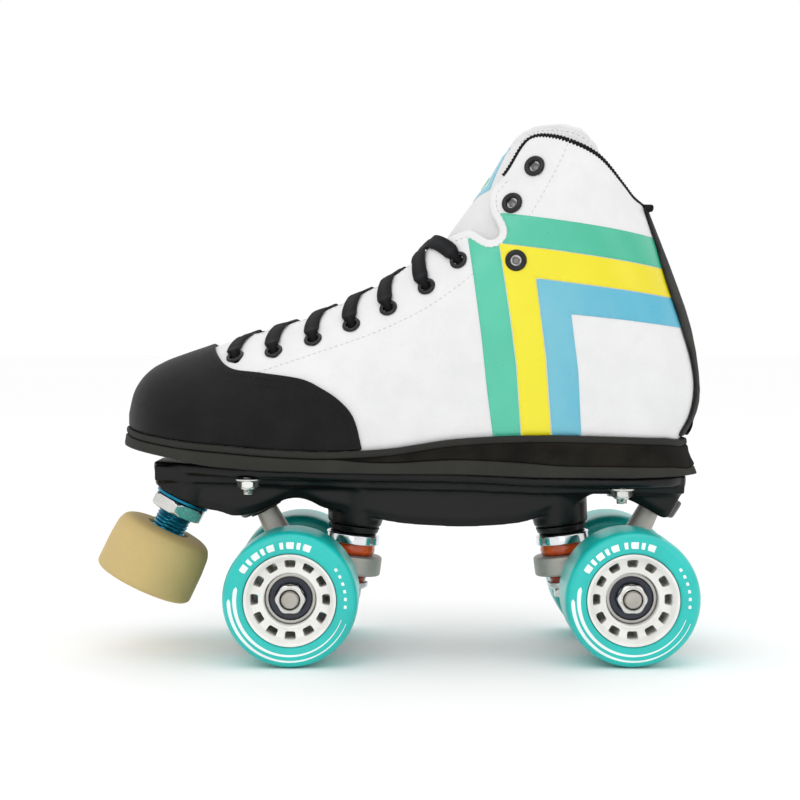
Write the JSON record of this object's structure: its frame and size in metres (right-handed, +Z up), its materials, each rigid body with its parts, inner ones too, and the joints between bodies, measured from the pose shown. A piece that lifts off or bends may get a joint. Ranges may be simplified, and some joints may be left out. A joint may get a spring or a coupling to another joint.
{
  "type": "quad roller skate",
  "caption": "High-cut lace-up quad roller skate: leather boot, nylon plate, steering trucks, urethane wheels and adjustable toe stop.",
  "frame": {"origin": "on the floor under the middle of the whole skate", "axes": "+X from the toe to the heel, +Y to the inner side of the left foot, +Z up"},
  "size_m": [0.2755, 0.116, 0.2412],
  "materials": {
    "white_leather": "smooth white coated leather with printed bands",
    "black_leather": "fine grained black leather",
    "lining": "pale lining and padded tongue",
    "lace": "flat woven lace",
    "welt": "matt charcoal welt",
    "wedge": "matt black speckled heel wedge",
    "outsole": "matt charcoal sole",
    "nylon": "moulded satin nylon",
    "urethane": "cast turquoise urethane",
    "hub_plastic": "off-white moulded hub",
    "bearing": "steel rings with dark blue shields",
    "cast_metal": "cast and tumbled",
    "zinc": "zinc plated",
    "chrome": "polished",
    "cushion": "translucent amber urethane",
    "cup_plastic": "moulded",
    "stop_rubber": "tan natural rubber",
    "stem_metal": "blue anodised thread"
  },
  "bodies": {
    "boot_and_plate": {"boot_upper": "white_leather", "toe_cap": "black_leather", "backstay": "black_leather", "tongue": "white_leather", "insole": "lining", "lace": "lace", "midsole": "welt", "heel_wedge": "wedge", "outsole": "outsole", "plate": "nylon", "toe_stop_washer": "stem_metal", "toe_stop_nut": "zinc", "front_left_mount_bolt": "zinc", "front_left_mount_nut": "zinc", "front_right_mount_bolt": "zinc", "front_right_mount_nut": "zinc", "front_kingpin": "zinc", "front_kingpin_nut": "zinc", "front_pivot_cup": "cup_plastic", "front_top_washer": "chrome", "front_top_cushion": "cushion", "front_bottom_cushion": "cushion", "front_bottom_washer": "chrome", "rear_left_mount_bolt": "zinc", "rear_left_mount_nut": "zinc", "rear_right_mount_bolt": "zinc", "rear_right_mount_nut": "zinc", "rear_kingpin": "zinc", "rear_kingpin_nut": "zinc", "rear_pivot_cup": "cup_plastic", "rear_top_washer": "chrome", "rear_top_cushion": "cushion", "rear_bottom_cushion": "cushion", "rear_bottom_washer": "chrome"},
    "toe_stop": {"toe_stop_pad": "stop_rubber", "toe_stop_stem": "stem_metal"},
    "front_truck": {"front_hanger": "cast_metal", "front_axle": "zinc", "front_left_axle_nut": "zinc", "front_right_axle_nut": "zinc"},
    "front_left_wheel": {"front_left_tyre": "urethane", "front_left_hub": "hub_plastic", "front_left_outer_bearing": "bearing", "front_left_inner_bearing": "bearing"},
    "front_right_wheel": {"front_right_tyre": "urethane", "front_right_hub": "hub_plastic", "front_right_outer_bearing": "bearing", "front_right_inner_bearing": "bearing"},
    "rear_truck": {"rear_hanger": "cast_metal", "rear_axle": "zinc", "rear_left_axle_nut": "zinc", "rear_right_axle_nut": "zinc"},
    "rear_left_wheel": {"rear_left_tyre": "urethane", "rear_left_hub": "hub_plastic", "rear_left_outer_bearing": "bearing", "rear_left_inner_bearing": "bearing"},
    "rear_right_wheel": {"rear_right_tyre": "urethane", "rear_right_hub": "hub_plastic", "rear_right_outer_bearing": "bearing", "rear_right_inner_bearing": "bearing"}
  },
  "joints": [
    {"name": "toe_stop_height", "type": "slide", "parent": "boot_and_plate", "child": "toe_stop", "axis": [0.4352, 0, 0.9003], "range_m": [-0.006, 0.003]},
    {"name": "front_truck_steer", "type": "hinge", "parent": "boot_and_plate", "child": "front_truck", "pos_m": [-0.06255, 0, 0.068], "axis": [-0.8101, 0, 0.5864], "range_deg": [-8, 8], "stiffness_Nm_per_rad": 15, "deforming": ["front_top_cushion", "front_bottom_cushion"]},
    {"name": "front_left_wheel_spin", "type": "hinge", "parent": "front_truck", "child": "front_left_wheel", "pos_m": [-0.04655, -0.039, 0.0295], "axis": [0, 1, 0], "continuous": true},
    {"name": "front_right_wheel_spin", "type": "hinge", "parent": "front_truck", "child": "front_right_wheel", "pos_m": [-0.04655, 0.039, 0.0295], "axis": [0, 1, 0], "continuous": true},
    {"name": "rear_truck_steer", "type": "hinge", "parent": "boot_and_plate", "child": "rear_truck", "pos_m": [0.11745, 0, 0.068], "axis": [0.8101, 0, 0.5864], "range_deg": [-8, 8], "stiffness_Nm_per_rad": 15, "deforming": ["rear_top_cushion", "rear_bottom_cushion"]},
    {"name": "rear_left_wheel_spin", "type": "hinge", "parent": "rear_truck", "child": "rear_left_wheel", "pos_m": [0.10145, -0.039, 0.0295], "axis": [0, 1, 0], "continuous": true},
    {"name": "rear_right_wheel_spin", "type": "hinge", "parent": "rear_truck", "child": "rear_right_wheel", "pos_m": [0.10145, 0.039, 0.0295], "axis": [0, 1, 0], "continuous": true}
  ]
}
